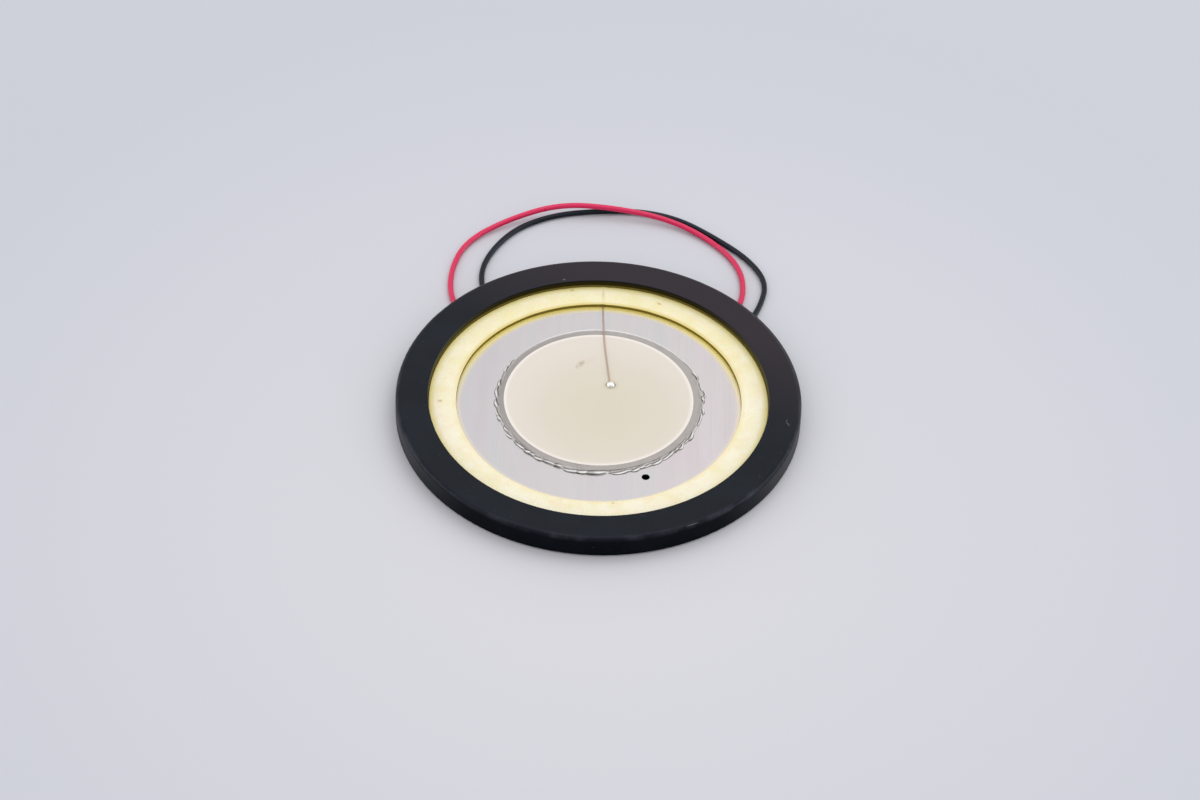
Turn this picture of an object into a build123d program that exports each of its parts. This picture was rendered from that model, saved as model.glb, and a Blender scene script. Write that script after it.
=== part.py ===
from build123d import *
import math
import os

# Piezo transducer: a ceramic disc on a metal plate, held in a black moulded ring.
# Millimetres. Origin at the centre of the ring's underside, +Z towards the ceramic.

# Housing ring, and the ledge in it that carries the plate
RING_DIAMETER = 50.0
RING_WALL = 4.0
RING_HEIGHT = 3.0
RING_TOP_ROUND = 0.6
RING_MOUTH_ROUND = 0.15
RING_BASE_CHAMFER = 0.25
LEDGE_WIDTH = 2.5
LEDGE_HEIGHT = 1.15
LEDGE_CHAMFER = 0.15

# Ways through the ring's underside for the leads, and through its ledge for the fine wire
NOTCH_ANGLES = (42.0, 132.0)
NOTCH_WIDTH = 6.4
NOTCH_ROOF = 0.2
NOTCH_CORNER = 0.35
SLOT_WIDTH = 1.6

# Metal plate and the adhesive that it sits on
PLATE_GAP = 0.5
PLATE_THICKNESS = 0.25
VENT_DIAMETER = 1.0
VENT_FROM_RIM = 1.65
VENT_ANGLE = -64.7
SEAT_GLUE_THICKNESS = 0.10
SEAT_GLUE_INSET = 0.2

# Foam ring on the plate, with a crease where it is pressed over the fine wire
FOAM_WIDTH = 3.35
FOAM_THICKNESS = 0.5
FOAM_GAP = 0.05
CREASE_CLEARANCE = 0.08

# Ceramic disc, bonded a little off centre, and its electrodes
CERAMIC_DIAMETER = 24.8
CERAMIC_THICKNESS = 0.25
CERAMIC_CENTRE = (0.1, 0.35)
ELECTRODE_MARGIN = 0.7
ELECTRODE_THICKNESS = 0.03
ELECTRODE_SHIFT = (-0.1, 0.05)

# Clear glue: the layer under the ceramic, and the bead that it pushed out round the rim
BOND_THICKNESS = 0.03
BEAD_WIDTH = 0.42
BEAD_HEIGHT = 0.24
BEAD_FULLNESS = 0.75
LUMP_RADIUS = 0.34
LUMP_SPACING = 2.1
LUMP_ARC = (150.0, 395.0)
LUMP_SWING = 0.22
LUMP_RHYTHM = 2.3

# Fine copper wire and its solder dot on the electrode
DOT_DIAMETER = 1.2
DOT_HEIGHT = 0.42
DOT_CENTRE = (1.44, 3.0)
WIRE_DIAMETER = 0.18
WIRE_CLEARANCE = 0.03
WIRE_BEND = 0.3
WIRE_START = (-0.05, 0.2)
WIRE_START_RISE = 0.06
WIRE_LANDING = (-0.2, 0.9)
WIRE_RIM_X = (0.51, 0.36)
WIRE_RIM_APPROACH = 2.3
WIRE_RIM_OVERHANG = 0.2
WIRE_FOAM_APPROACH = 0.3
WIRE_SLOT_X = 0.17
WIRE_LEAD_IN = 4.6
WIRE_END_GAP = 0.2

# Leads: insulation, bare conductor and the height at which they lie on the surface
LEAD_DIAMETER = 0.7
CORE_DIAMETER = 0.38
LEAD_FLOOR_GAP = 0.02
TIP_LENGTH = 3.0
ARC_SHARE = 0.45

# Heights above their rest where the leads leave their joints, and where red crosses over black
RED_START_RISE = 0.05
BLACK_START_RISE = 0.1
HUMP_FOOT = 0.03
HUMP_SIDE = 0.38
HUMP_TOP = 1.08

# Joint of the fine wire and the red lead, and the sleeve over it
CORE_LENGTH = 1.5
SPLICE_DIAMETER = 0.62
SPLICE_START = 0.3
SPLICE_LENGTH = 2.2
SPLICE_ROUND = 0.2
SLEEVE_WALL = 0.14
SLEEVE_LENGTH = 4.0
SLEEVE_GRIP = 0.8

# Joint of the black lead on the plate's rear
PLATE_JOINT_DIAMETER = 2.0
PLATE_JOINT_HEIGHT = 0.6
PLATE_JOINT_REACH = 1.5
PLATE_JOINT_COVER = 0.06
BLACK_CORE_STRAIGHT = 0.6

# Dab of glue that holds both leads in the notch that they leave through
ANCHOR_LENGTH = 3.6
ANCHOR_INSET = 1.5
ANCHOR_FLOOR_GAP = 0.06

# How far a cutting shape reaches past the faces that it cuts
CUT_MARGIN = 1.0

# Heights and radii that follow from the sizes above
RING_RADIUS = RING_DIAMETER / 2
OPENING_RADIUS = RING_RADIUS - RING_WALL
LEDGE_RADIUS = OPENING_RADIUS - LEDGE_WIDTH
NOTCH_HEIGHT = LEDGE_HEIGHT - NOTCH_ROOF
PLATE_RADIUS = OPENING_RADIUS - PLATE_GAP
PLATE_BOTTOM = LEDGE_HEIGHT + SEAT_GLUE_THICKNESS
PLATE_TOP = PLATE_BOTTOM + PLATE_THICKNESS
FOAM_OUTER_RADIUS = OPENING_RADIUS - FOAM_GAP
FOAM_INNER_RADIUS = FOAM_OUTER_RADIUS - FOAM_WIDTH
CERAMIC_RADIUS = CERAMIC_DIAMETER / 2
CERAMIC_BOTTOM = PLATE_TOP + BOND_THICKNESS + ELECTRODE_THICKNESS
CERAMIC_TOP = CERAMIC_BOTTOM + CERAMIC_THICKNESS
ELECTRODE_RADIUS = CERAMIC_RADIUS - ELECTRODE_MARGIN
ELECTRODE_TOP = CERAMIC_TOP + ELECTRODE_THICKNESS
LEAD_RADIUS = LEAD_DIAMETER / 2
LEAD_REST = LEAD_RADIUS + LEAD_FLOOR_GAP
SLEEVE_RADIUS = LEAD_RADIUS + SLEEVE_WALL
SPLICE_AXIS = SLEEVE_RADIUS + LEAD_FLOOR_GAP

# Routes of the two leads, from the soldered end inside the ring, out through the right notch,
# round behind the ring and back in through the left notch to the loose end
RED_ROUTE = [
    (3.3, 12.9, SPLICE_AXIS),
    (6.8, 11.9, LEAD_REST + RED_START_RISE),
    (10.6, 12.8, LEAD_REST),
    (13.5, 14.6, LEAD_REST),
    (16.4, 17.3, LEAD_REST),
    (18.1, 21.9, LEAD_REST),
    (17.5, 27.5, LEAD_REST),
    (13.8, 32.3, LEAD_REST + HUMP_FOOT),
    (8.3, 35.8, LEAD_REST + HUMP_SIDE),
    (1.2, 36.9, LEAD_REST + HUMP_TOP),
    (-5.9, 37.3, LEAD_REST + HUMP_TOP),
    (-12.5, 34.7, LEAD_REST + HUMP_SIDE),
    (-17.7, 30.6, LEAD_REST + HUMP_FOOT),
    (-19.4, 25.1, LEAD_REST),
    (-19.2, 19.6, LEAD_REST),
    (-17.2, 16.3, LEAD_REST),
    (-13.8, 13.0, LEAD_REST),
    (-11.8, 8.4, LEAD_REST),
    (-11.6, 4.4, LEAD_REST),
    (-12.2, 1.7, LEAD_REST),
]
BLACK_ROUTE = [
    (7.6, 8.6, LEAD_REST + BLACK_START_RISE),
    (10.6, 9.4, LEAD_REST),
    (13.9, 12.0, LEAD_REST),
    (18.2, 15.9, LEAD_REST),
    (20.2, 20.2, LEAD_REST),
    (20.9, 24.7, LEAD_REST),
    (18.5, 29.0, LEAD_REST),
    (14.2, 32.9, LEAD_REST),
    (9.7, 36.2, LEAD_REST),
    (4.8, 37.6, LEAD_REST),
    (-0.8, 37.4, LEAD_REST),
    (-6.3, 36.4, LEAD_REST),
    (-11.1, 33.7, LEAD_REST),
    (-14.1, 29.6, LEAD_REST),
    (-15.7, 24.8, LEAD_REST),
    (-14.8, 19.6, LEAD_REST),
    (-11.0, 15.1, LEAD_REST),
    (-8.8, 10.8, LEAD_REST),
    (-8.6, 6.8, LEAD_REST),
    (-9.1, 3.0, LEAD_REST),
    (-8.4, -0.3, LEAD_REST),
]


def corner_radii(points):
    """Arc radius at each corner: it uses ARC_SHARE of the shorter run beside it."""
    radii = []
    for before, corner, after in zip(points, points[1:], points[2:]):
        incoming = Vector(*corner) - Vector(*before)
        outgoing = Vector(*after) - Vector(*corner)
        turn = math.radians(incoming.get_angle(outgoing))
        shorter_run = min(incoming.length, outgoing.length)
        radii.append(ARC_SHARE * shorter_run / math.tan(turn / 2))
    return radii


def round_tube(points, diameter, radii):
    """Solid round tube along straight runs that tangent arcs join."""
    path = FilletPolyline(*points, radius=radii)
    section = Plane(origin=path @ 0, z_dir=path % 0) * Circle(diameter / 2)
    tube = sweep(section, path=path)
    expected = math.pi * diameter**2 / 4 * path.length
    print(f"  length {path.length:.2f}, volume {tube.volume:.4f}, section by length {expected:.4f}")
    return tube


def disc(radius, bottom, thickness, centre=(0, 0)):
    """Flat round disc with its lower face at bottom."""
    return Pos(centre[0], centre[1], bottom) * extrude(Circle(radius), amount=thickness)


def flat_ring(outer_radius, inner_radius, bottom, thickness):
    """Flat ring with its lower face at bottom."""
    return Pos(0, 0, bottom) * extrude(Circle(outer_radius) - Circle(inner_radius), amount=thickness)


def corner_at(profile, radius, height):
    """The profile's vertex at a radius and a height."""
    return profile.vertices().sort_by_distance((radius, 0, height))[0]


def route_direction(start, end):
    """Unit vector from one point of a route to another."""
    return (Vector(*end) - Vector(*start)).normalized()


def ring_profile():
    """Half section of the ring: outer wall, opening and the ledge that carries the plate."""
    outline = Polyline(
        (LEDGE_RADIUS, 0),
        (RING_RADIUS, 0),
        (RING_RADIUS, RING_HEIGHT),
        (OPENING_RADIUS, RING_HEIGHT),
        (OPENING_RADIUS, LEDGE_HEIGHT),
        (LEDGE_RADIUS, LEDGE_HEIGHT),
        close=True,
    )
    profile = Plane.XZ * make_face(outline)
    profile = fillet(corner_at(profile, RING_RADIUS, RING_HEIGHT), RING_TOP_ROUND)
    profile = fillet(corner_at(profile, OPENING_RADIUS, RING_HEIGHT), RING_MOUTH_ROUND)
    profile = chamfer(corner_at(profile, RING_RADIUS, 0), RING_BASE_CHAMFER)
    return chamfer(corner_at(profile, LEDGE_RADIUS, 0), LEDGE_CHAMFER)


def lead_notch(angle):
    """Channel through the ring's underside, with rounded corners at its roof."""
    section = Rectangle(NOTCH_WIDTH, 2 * NOTCH_HEIGHT)
    section = fillet(section.vertices().group_by(Axis.Y)[-1], NOTCH_CORNER)
    across = Plane(origin=(0, 0, 0), x_dir=(0, 1, 0), z_dir=(1, 0, 0))
    return Rot(0, 0, angle) * extrude(across * section, amount=RING_RADIUS + CUT_MARGIN)


def wire_slot():
    """Gap through the ledge that lets the fine wire down beside the plate's edge."""
    depth = LEDGE_WIDTH + CUT_MARGIN
    return Pos(WIRE_SLOT_X, OPENING_RADIUS - depth / 2, 0) * Box(SLOT_WIDTH, depth, 2 * LEDGE_HEIGHT)


def housing_ring():
    ring = revolve(ring_profile(), axis=Axis.Z)
    for angle in NOTCH_ANGLES:
        ring -= lead_notch(angle)
    return ring - wire_slot()


def seat_adhesive():
    return flat_ring(
        PLATE_RADIUS - SEAT_GLUE_INSET,
        LEDGE_RADIUS + SEAT_GLUE_INSET,
        LEDGE_HEIGHT,
        SEAT_GLUE_THICKNESS,
    )


def vent_hole():
    """Cutter for the vent, which lies just outside the ceramic's rim."""
    radius = CERAMIC_RADIUS + VENT_FROM_RIM
    angle = math.radians(VENT_ANGLE)
    centre = (radius * math.cos(angle), radius * math.sin(angle))
    depth = PLATE_THICKNESS + 2 * CUT_MARGIN
    return disc(VENT_DIAMETER / 2, PLATE_BOTTOM - CUT_MARGIN, depth, centre)


def diaphragm_plate():
    return disc(PLATE_RADIUS, PLATE_BOTTOM, PLATE_THICKNESS) - vent_hole()


def foam_ring():
    foam = flat_ring(FOAM_OUTER_RADIUS, FOAM_INNER_RADIUS, PLATE_TOP, FOAM_THICKNESS)
    crease_width = WIRE_DIAMETER + 2 * CREASE_CLEARANCE
    crease_height = WIRE_DIAMETER + WIRE_CLEARANCE + CREASE_CLEARANCE
    crease = Box(crease_width, FOAM_WIDTH + 2 * CUT_MARGIN, 2 * crease_height)
    return foam - Pos(WIRE_SLOT_X, FOAM_INNER_RADIUS + FOAM_WIDTH / 2, PLATE_TOP) * crease


def ceramic_disc():
    return disc(CERAMIC_RADIUS, CERAMIC_BOTTOM, CERAMIC_THICKNESS, CERAMIC_CENTRE)


def rear_electrode():
    return disc(CERAMIC_RADIUS, PLATE_TOP + BOND_THICKNESS, ELECTRODE_THICKNESS, CERAMIC_CENTRE)


def front_electrode():
    centre = (CERAMIC_CENTRE[0] + ELECTRODE_SHIFT[0], CERAMIC_CENTRE[1] + ELECTRODE_SHIFT[1])
    return disc(ELECTRODE_RADIUS, CERAMIC_TOP, ELECTRODE_THICKNESS, centre)


def ceramic_glue():
    """Bond layer and bead in one piece, lumpy where the glue was pushed out unevenly."""
    foot = CERAMIC_RADIUS + BEAD_WIDTH
    crown = ThreePointArc(
        (foot, PLATE_TOP),
        (CERAMIC_RADIUS + BEAD_FULLNESS * BEAD_WIDTH, PLATE_TOP + BEAD_FULLNESS * BEAD_HEIGHT),
        (CERAMIC_RADIUS, PLATE_TOP + BEAD_HEIGHT),
    )
    rest = Polyline(
        (CERAMIC_RADIUS, PLATE_TOP + BEAD_HEIGHT),
        (CERAMIC_RADIUS, PLATE_TOP + BOND_THICKNESS),
        (0, PLATE_TOP + BOND_THICKNESS),
        (0, PLATE_TOP),
        (foot, PLATE_TOP),
    )
    glue = revolve(Plane.XZ * make_face(Wire([crown, *rest.edges()])), axis=Axis.Z)
    glue += [Rot(0, 0, angle) * lump for angle, lump in bead_lumps(foot)]
    above_plate = disc(foot + CUT_MARGIN, PLATE_TOP, CUT_MARGIN)
    under_ceramic = disc(CERAMIC_RADIUS, PLATE_TOP + BOND_THICKNESS, CUT_MARGIN)
    return Pos(*CERAMIC_CENTRE, 0) * ((glue & above_plate) - under_ceramic)


def bead_lumps(foot):
    """Balls of glue along the bead's foot, each a little larger or smaller than the last."""
    first, last = (math.radians(angle) for angle in LUMP_ARC)
    count = int((last - first) * foot / LUMP_SPACING)
    lumps = []
    for index in range(count + 1):
        swing = LUMP_SWING * math.sin(LUMP_RHYTHM * index)
        angle = math.degrees(first + (last - first) * index / count + swing / foot)
        radius = LUMP_RADIUS * (1 + swing)
        lumps.append((angle, Pos(foot - LUMP_RADIUS / 2, 0, PLATE_TOP) * Sphere(radius)))
    return lumps


def splice_line():
    """Start and direction of the joint's axis: the red lead's first run, carried on inwards."""
    return Vector(*RED_ROUTE[0]), route_direction(RED_ROUTE[1], RED_ROUTE[0])


def copper_wire():
    """From the solder dot over the ceramic and under the foam, down the slot to the joint."""
    on_ceramic = ELECTRODE_TOP + WIRE_DIAMETER / 2 + WIRE_CLEARANCE
    on_plate = PLATE_TOP + WIRE_DIAMETER / 2 + WIRE_CLEARANCE
    dot_x, dot_y = DOT_CENTRE
    rim_y = CERAMIC_CENTRE[1] + CERAMIC_RADIUS
    joint, inwards = splice_line()
    plate_edge = (WIRE_SLOT_X, PLATE_RADIUS + WIRE_BEND, on_plate)
    points = [
        (dot_x + WIRE_START[0], dot_y + WIRE_START[1], on_ceramic + WIRE_START_RISE),
        (dot_x + WIRE_LANDING[0], dot_y + WIRE_LANDING[1], on_ceramic),
        (WIRE_RIM_X[0], rim_y - WIRE_RIM_APPROACH, on_ceramic),
        (WIRE_RIM_X[1], rim_y + WIRE_RIM_OVERHANG, on_ceramic),
        (WIRE_SLOT_X, FOAM_INNER_RADIUS - WIRE_FOAM_APPROACH, on_plate),
        plate_edge,
        (WIRE_SLOT_X, PLATE_RADIUS + WIRE_BEND, joint.Z),
        tuple(joint + inwards * WIRE_LEAD_IN),
        tuple(joint + inwards * (CORE_LENGTH + WIRE_END_GAP)),
    ]
    radii = corner_radii(points)
    radii[points.index(plate_edge) - 1] = WIRE_BEND
    return round_tube(points, WIRE_DIAMETER, radii)


def dome(radius, height):
    """Solder cap: the part of a ball above z = 0 that has this radius and height."""
    ball_radius = (radius**2 + height**2) / (2 * height)
    ball = Pos(0, 0, height - ball_radius) * Sphere(ball_radius)
    return ball & disc(radius + CUT_MARGIN, 0, height + CUT_MARGIN)


def centre_solder(wire):
    return Pos(*DOT_CENTRE, ELECTRODE_TOP) * dome(DOT_DIAMETER / 2, DOT_HEIGHT) - wire


def red_lead_core():
    joint, inwards = splice_line()
    return extrude(Plane(origin=joint, z_dir=inwards) * Circle(CORE_DIAMETER / 2), amount=CORE_LENGTH)


def splice_solder(core, wire):
    joint, inwards = splice_line()
    start = joint + inwards * SPLICE_START
    blank = extrude(Plane(origin=start, z_dir=inwards) * Circle(SPLICE_DIAMETER / 2), amount=SPLICE_LENGTH)
    return fillet(blank.edges().filter_by(GeomType.CIRCLE), SPLICE_ROUND) - core - wire


def splice_sleeve():
    joint, inwards = splice_line()
    wall = Circle(SLEEVE_RADIUS) - Circle(LEAD_RADIUS)
    start = joint - inwards * SLEEVE_GRIP
    return extrude(Plane(origin=start, z_dir=inwards) * wall, amount=SLEEVE_LENGTH)


def plate_joint_line():
    """The black lead's end, the direction that it points in, and the solder joint's centre."""
    start = Vector(*BLACK_ROUTE[0])
    inwards = route_direction(BLACK_ROUTE[1], BLACK_ROUTE[0])
    level = Vector(inwards.X, inwards.Y, 0).normalized()
    return start, inwards, start + level * PLATE_JOINT_REACH


def black_lead_core():
    """Leaves the insulation along the lead's axis, then turns up into the joint on the plate."""
    start, inwards, joint = plate_joint_line()
    highest = PLATE_BOTTOM - CORE_DIAMETER / 2 - PLATE_JOINT_COVER
    points = [
        tuple(start),
        tuple(start + inwards * BLACK_CORE_STRAIGHT),
        (joint.X, joint.Y, highest),
    ]
    return round_tube(points, CORE_DIAMETER, corner_radii(points))


def plate_solder(core):
    joint = plate_joint_line()[-1]
    cap = mirror(dome(PLATE_JOINT_DIAMETER / 2, PLATE_JOINT_HEIGHT), about=Plane.XY)
    return Pos(joint.X, joint.Y, PLATE_BOTTOM) * cap - core


def lead_tip(route):
    """Tinned end of the conductor, in line with the lead's last run."""
    outwards = route_direction(route[-2], route[-1])
    face = Plane(origin=route[-1], z_dir=outwards) * Circle(CORE_DIAMETER / 2)
    tip = extrude(face, amount=TIP_LENGTH)
    return fillet(tip.edges().sort_by_distance(Vector(*route[-1]))[-1], CORE_DIAMETER / 4)


def lead_anchor(leads):
    """Glue that fills the right notch round both leads."""
    outer = RING_RADIUS - ANCHOR_INSET
    band = flat_ring(outer, outer - ANCHOR_LENGTH, ANCHOR_FLOOR_GAP, NOTCH_HEIGHT)
    dab = lead_notch(NOTCH_ANGLES[0]) & band
    for lead in leads:
        dab -= lead
    return dab


def lead(name, route):
    radii = corner_radii(route)
    print(name, "arc radii", [round(radius, 1) for radius in radii])
    return round_tube(route, LEAD_DIAMETER, radii)


def build_parts():
    wire = copper_wire()
    red = lead("red_lead", RED_ROUTE)
    black = lead("black_lead", BLACK_ROUTE)
    red_core = red_lead_core()
    black_core = black_lead_core()
    return {
        "housing_ring": housing_ring(),
        "seat_adhesive": seat_adhesive(),
        "diaphragm_plate": diaphragm_plate(),
        "foam_ring": foam_ring(),
        "rear_electrode": rear_electrode(),
        "ceramic_disc": ceramic_disc(),
        "front_electrode": front_electrode(),
        "ceramic_glue": ceramic_glue(),
        "copper_wire": wire,
        "centre_solder": centre_solder(wire),
        "red_lead_core": red_core,
        "splice_solder": splice_solder(red_core, wire),
        "splice_sleeve": splice_sleeve(),
        "black_lead_core": black_core,
        "plate_solder": plate_solder(black_core),
        "lead_anchor": lead_anchor([red, black]),
        "red_lead": red,
        "black_lead": black,
        "red_lead_tip": lead_tip(RED_ROUTE),
        "black_lead_tip": lead_tip(BLACK_ROUTE),
    }


os.makedirs("parts", exist_ok=True)
for name, shape in build_parts().items():
    export_step(shape, f"parts/{name}.step")
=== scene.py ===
"""Dresses the piezo transducer: its finishes, leads, foam, glue bead, solder joints, light and camera."""
import logging
import math
from abc import ABC, abstractmethod
from collections.abc import Sequence
from dataclasses import dataclass, field
from enum import Enum

import bmesh
import bpy
import numpy as np
from mathutils import Matrix, Vector


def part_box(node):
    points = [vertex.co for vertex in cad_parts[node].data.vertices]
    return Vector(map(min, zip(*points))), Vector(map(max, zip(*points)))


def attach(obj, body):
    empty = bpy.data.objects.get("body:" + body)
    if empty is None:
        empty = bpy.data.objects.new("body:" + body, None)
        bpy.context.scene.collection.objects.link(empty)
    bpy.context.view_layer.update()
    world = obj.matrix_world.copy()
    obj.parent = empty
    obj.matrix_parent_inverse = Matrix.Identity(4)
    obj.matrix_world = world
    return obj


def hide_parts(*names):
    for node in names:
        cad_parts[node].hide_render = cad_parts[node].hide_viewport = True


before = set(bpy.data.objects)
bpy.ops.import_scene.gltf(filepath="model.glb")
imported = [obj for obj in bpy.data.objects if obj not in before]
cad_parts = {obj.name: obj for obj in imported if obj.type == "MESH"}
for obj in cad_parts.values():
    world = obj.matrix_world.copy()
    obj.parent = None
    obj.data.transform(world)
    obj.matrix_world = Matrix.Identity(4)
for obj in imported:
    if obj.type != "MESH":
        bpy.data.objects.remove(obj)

MM = 0.001
SEED = 7
WHITE = (1.0, 1.0, 1.0, 1.0)

log = logging.getLogger("piezo")

Point = tuple[float, float, float]
Span = tuple[float, float]
Tone = tuple[str, float]
Ripple = tuple[Sequence[int], Sequence[float]]
Socket = bpy.types.NodeSocket


class Body(str, Enum):
    """The bodies that pieces ride on."""

    ROOT = "root"


class Slot(str, Enum):
    """The record's material slots."""

    RING = "black_plastic"
    FOAM = "foam"
    PLATE = "plate_metal"
    CERAMIC = "piezo_ceramic"
    SILVER = "fired_silver"
    GLUE = "clear_glue"
    SEAT_GLUE = "seat_glue"
    COPPER = "copper"
    SOLDER = "solder"
    RED = "red_insulation"
    BLACK = "black_insulation"
    SLEEVE = "shrink_sleeve"


def linear(hex_colour: str) -> tuple[float, float, float, float]:
    """Turns an sRGB hex colour into linear RGBA.

    Args:
        hex_colour: Six digits after a hash sign.

    Returns:
        Linear red, green, blue and an alpha of one.
    """
    srgb = np.array([int(hex_colour[i : i + 2], 16) for i in (1, 3, 5)]) / 255
    value = np.where(srgb <= 0.04045, srgb / 12.92, ((srgb + 0.055) / 1.055) ** 2.4)
    return (*value.tolist(), 1.0)


def per(size_mm: float) -> float:
    """Returns a texture scale, in cells per metre, for a pattern of this size."""
    return 1 / (size_mm * MM)


def add_node(
    tree: bpy.types.NodeTree, kind: str, inputs: dict | None = None, **settings
) -> bpy.types.Node:
    """Adds one node with its settings, values and links.

    Args:
        tree: The node tree that gets the node.
        kind: The node's type name.
        inputs: Values, or output sockets to link, by input name or index.
        settings: The node's own properties.

    Returns:
        The new node.
    """
    made = tree.nodes.new(kind)
    for name, value in settings.items():
        setattr(made, name, value)
    for key, value in (inputs or {}).items():
        if isinstance(value, Socket):
            tree.links.new(value, made.inputs[key])
        else:
            made.inputs[key].default_value = value
    return made


@dataclass(frozen=True)
class Mark:
    """A small mark on a surface: an ellipse at a place in the frame, in millimetres and degrees."""

    x: float
    y: float
    z: float
    length: float
    width: float
    turn: float = 0.0


@dataclass(frozen=True)
class Layer:
    """A colour that shows where smooth noise lies between two levels."""

    size_mm: float
    low: float
    high: float
    colour: str
    amount: float
    detail: float = 3.0
    stretch: Point = (1.0, 1.0, 1.0)


@dataclass
class Shading:
    """One node tree while it is being drawn, with its shader and the coordinates that patterns hold on to."""

    tree: bpy.types.NodeTree
    shader: bpy.types.Node
    place: Socket

    def add(self, kind: str, inputs: dict | None = None, **settings) -> bpy.types.Node:
        """Adds one node to the tree."""
        return add_node(self.tree, kind, inputs, **settings)

    def link(self, value: Socket, name: str) -> None:
        """Links a value to one of the shader's own sockets."""
        self.tree.links.new(value, self.shader.inputs[name])

    def math(self, operation: str, *values: Socket | float, clamp: bool = False) -> Socket:
        """Works out one step of arithmetic."""
        made = self.add("ShaderNodeMath", dict(enumerate(values)), operation=operation, use_clamp=clamp)
        return made.outputs[0]

    def times(self, first: Socket, *others: Socket) -> Socket:
        """Multiplies masks with each other."""
        product = first
        for mask in others:
            product = self.math("MULTIPLY", product, mask)
        return product

    def vector(self, operation: str, *values: Socket | Point) -> bpy.types.Node:
        """Works out one step of vector arithmetic."""
        return self.add("ShaderNodeVectorMath", dict(enumerate(values)), operation=operation)

    def part(self, axis: str, whole: Socket | None = None) -> Socket:
        """Gives one coordinate of the place, or of another vector."""
        return self.add("ShaderNodeSeparateXYZ", {0: whole or self.place}).outputs[axis]

    def facing(self, axis: str) -> Socket:
        """Gives how far the surface's normal points along an axis: for Z, one on top and zero on a wall."""
        return self.part(axis, self.add("ShaderNodeTexCoord").outputs["Normal"])

    def toward(self, direction: Point) -> Socket:
        """Gives how far the place lies in a direction."""
        return self.vector("DOT_PRODUCT", self.place, direction).outputs["Value"]

    def away(self, x_mm: float = 0.0, y_mm: float = 0.0) -> Socket:
        """Gives the level distance from an upright line, at first the ring's axis."""
        level = self.vector("MULTIPLY", self.place, (1.0, 1.0, 0.0)).outputs["Vector"]
        return self.vector("DISTANCE", level, (x_mm * MM, y_mm * MM, 0.0)).outputs["Value"]

    def ramp(self, value: Socket, low: float, high: float, start: float = 0.0, end: float = 1.0) -> Socket:
        """Maps low..high to start..end, clamped."""
        return self.add("ShaderNodeMapRange", {0: value, 1: low, 2: high, 3: start, 4: end}).outputs[0]

    def band(self, value: Socket, span_mm: Span) -> Socket:
        """Maps a span in millimetres to zero..one, clamped."""
        return self.ramp(value, span_mm[0] * MM, span_mm[1] * MM)

    def noise(self, size_mm: float, detail: float = 3.0, stretch: Point = (1.0, 1.0, 1.0)) -> Socket:
        """Gives smooth noise with cells of a real size, stretched along the axes by whole shares."""
        scaled = self.add("ShaderNodeMapping", {"Vector": self.place, "Scale": [1 / s for s in stretch]})
        inputs = {"Vector": scaled.outputs[0], "Scale": per(size_mm), "Detail": detail}
        return self.add("ShaderNodeTexNoise", inputs).outputs["Fac"]

    def cells(self, size_mm: float) -> Socket:
        """Gives the distance from the middles of scattered cells of a real size."""
        inputs = {"Vector": self.place, "Scale": per(size_mm)}
        return self.add("ShaderNodeTexVoronoi", inputs).outputs["Distance"]

    def inside(self, mark: Mark, softness: float) -> Socket:
        """Gives one inside a mark's ellipse and zero outside.

        Args:
            mark: The ellipse, as which the place is turned and scaled before its length is taken.
            softness: The share of the ellipse over which the mark fades.

        Returns:
            The mask's output socket.
        """
        inputs = {
            "Vector": self.place,
            "Location": Vector((mark.x, mark.y, mark.z)) * MM,
            "Rotation": (0, 0, math.radians(mark.turn)),
            "Scale": Vector((mark.length / 2, mark.width / 2, mark.width)) * MM,
        }
        centred = self.add("ShaderNodeMapping", inputs, vector_type="TEXTURE")
        distance = self.vector("LENGTH", centred.outputs[0]).outputs["Value"]
        return self.ramp(distance, 1 - softness, 1.0, 1.0, 0.0)

    def tint(self, mask: Socket, colour: str, amount: float = 1.0) -> None:
        """Mixes another colour into the base where the mask says, over any colour that is there already."""
        base = self.shader.inputs["Base Color"]
        under = base.links[0].from_socket if base.links else tuple(base.default_value)
        factor = self.math("MULTIPLY", mask, amount, clamp=True)
        mixed = self.add("ShaderNodeMix", {"Factor": factor, 6: under, 7: linear(colour)}, data_type="RGBA")
        self.tree.links.new(mixed.outputs[2], base)

    def layer(self, layer: Layer) -> Socket:
        """Tints the base with a layer and gives the layer's noise."""
        noise = self.noise(layer.size_mm, layer.detail, layer.stretch)
        self.tint(self.ramp(noise, layer.low, layer.high), layer.colour, layer.amount)
        return noise

    def roughen(self, noise: Socket, gloss: Span, levels: Span = (0.3, 0.7)) -> Socket:
        """Makes the roughness follow noise between two levels."""
        roughness = self.ramp(noise, *levels, *gloss)
        self.link(roughness, "Roughness")
        return roughness

    def bump(self, height: Socket, depth_mm: float, strength: float) -> None:
        """Links a height to the shader's normal, over any bump that it has already."""
        inputs = {"Height": height, "Distance": depth_mm * MM, "Strength": strength}
        normal = self.shader.inputs["Normal"]
        if normal.links:
            inputs["Normal"] = normal.links[0].from_socket
        self.link(self.add("ShaderNodeBump", inputs).outputs[0], "Normal")


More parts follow.
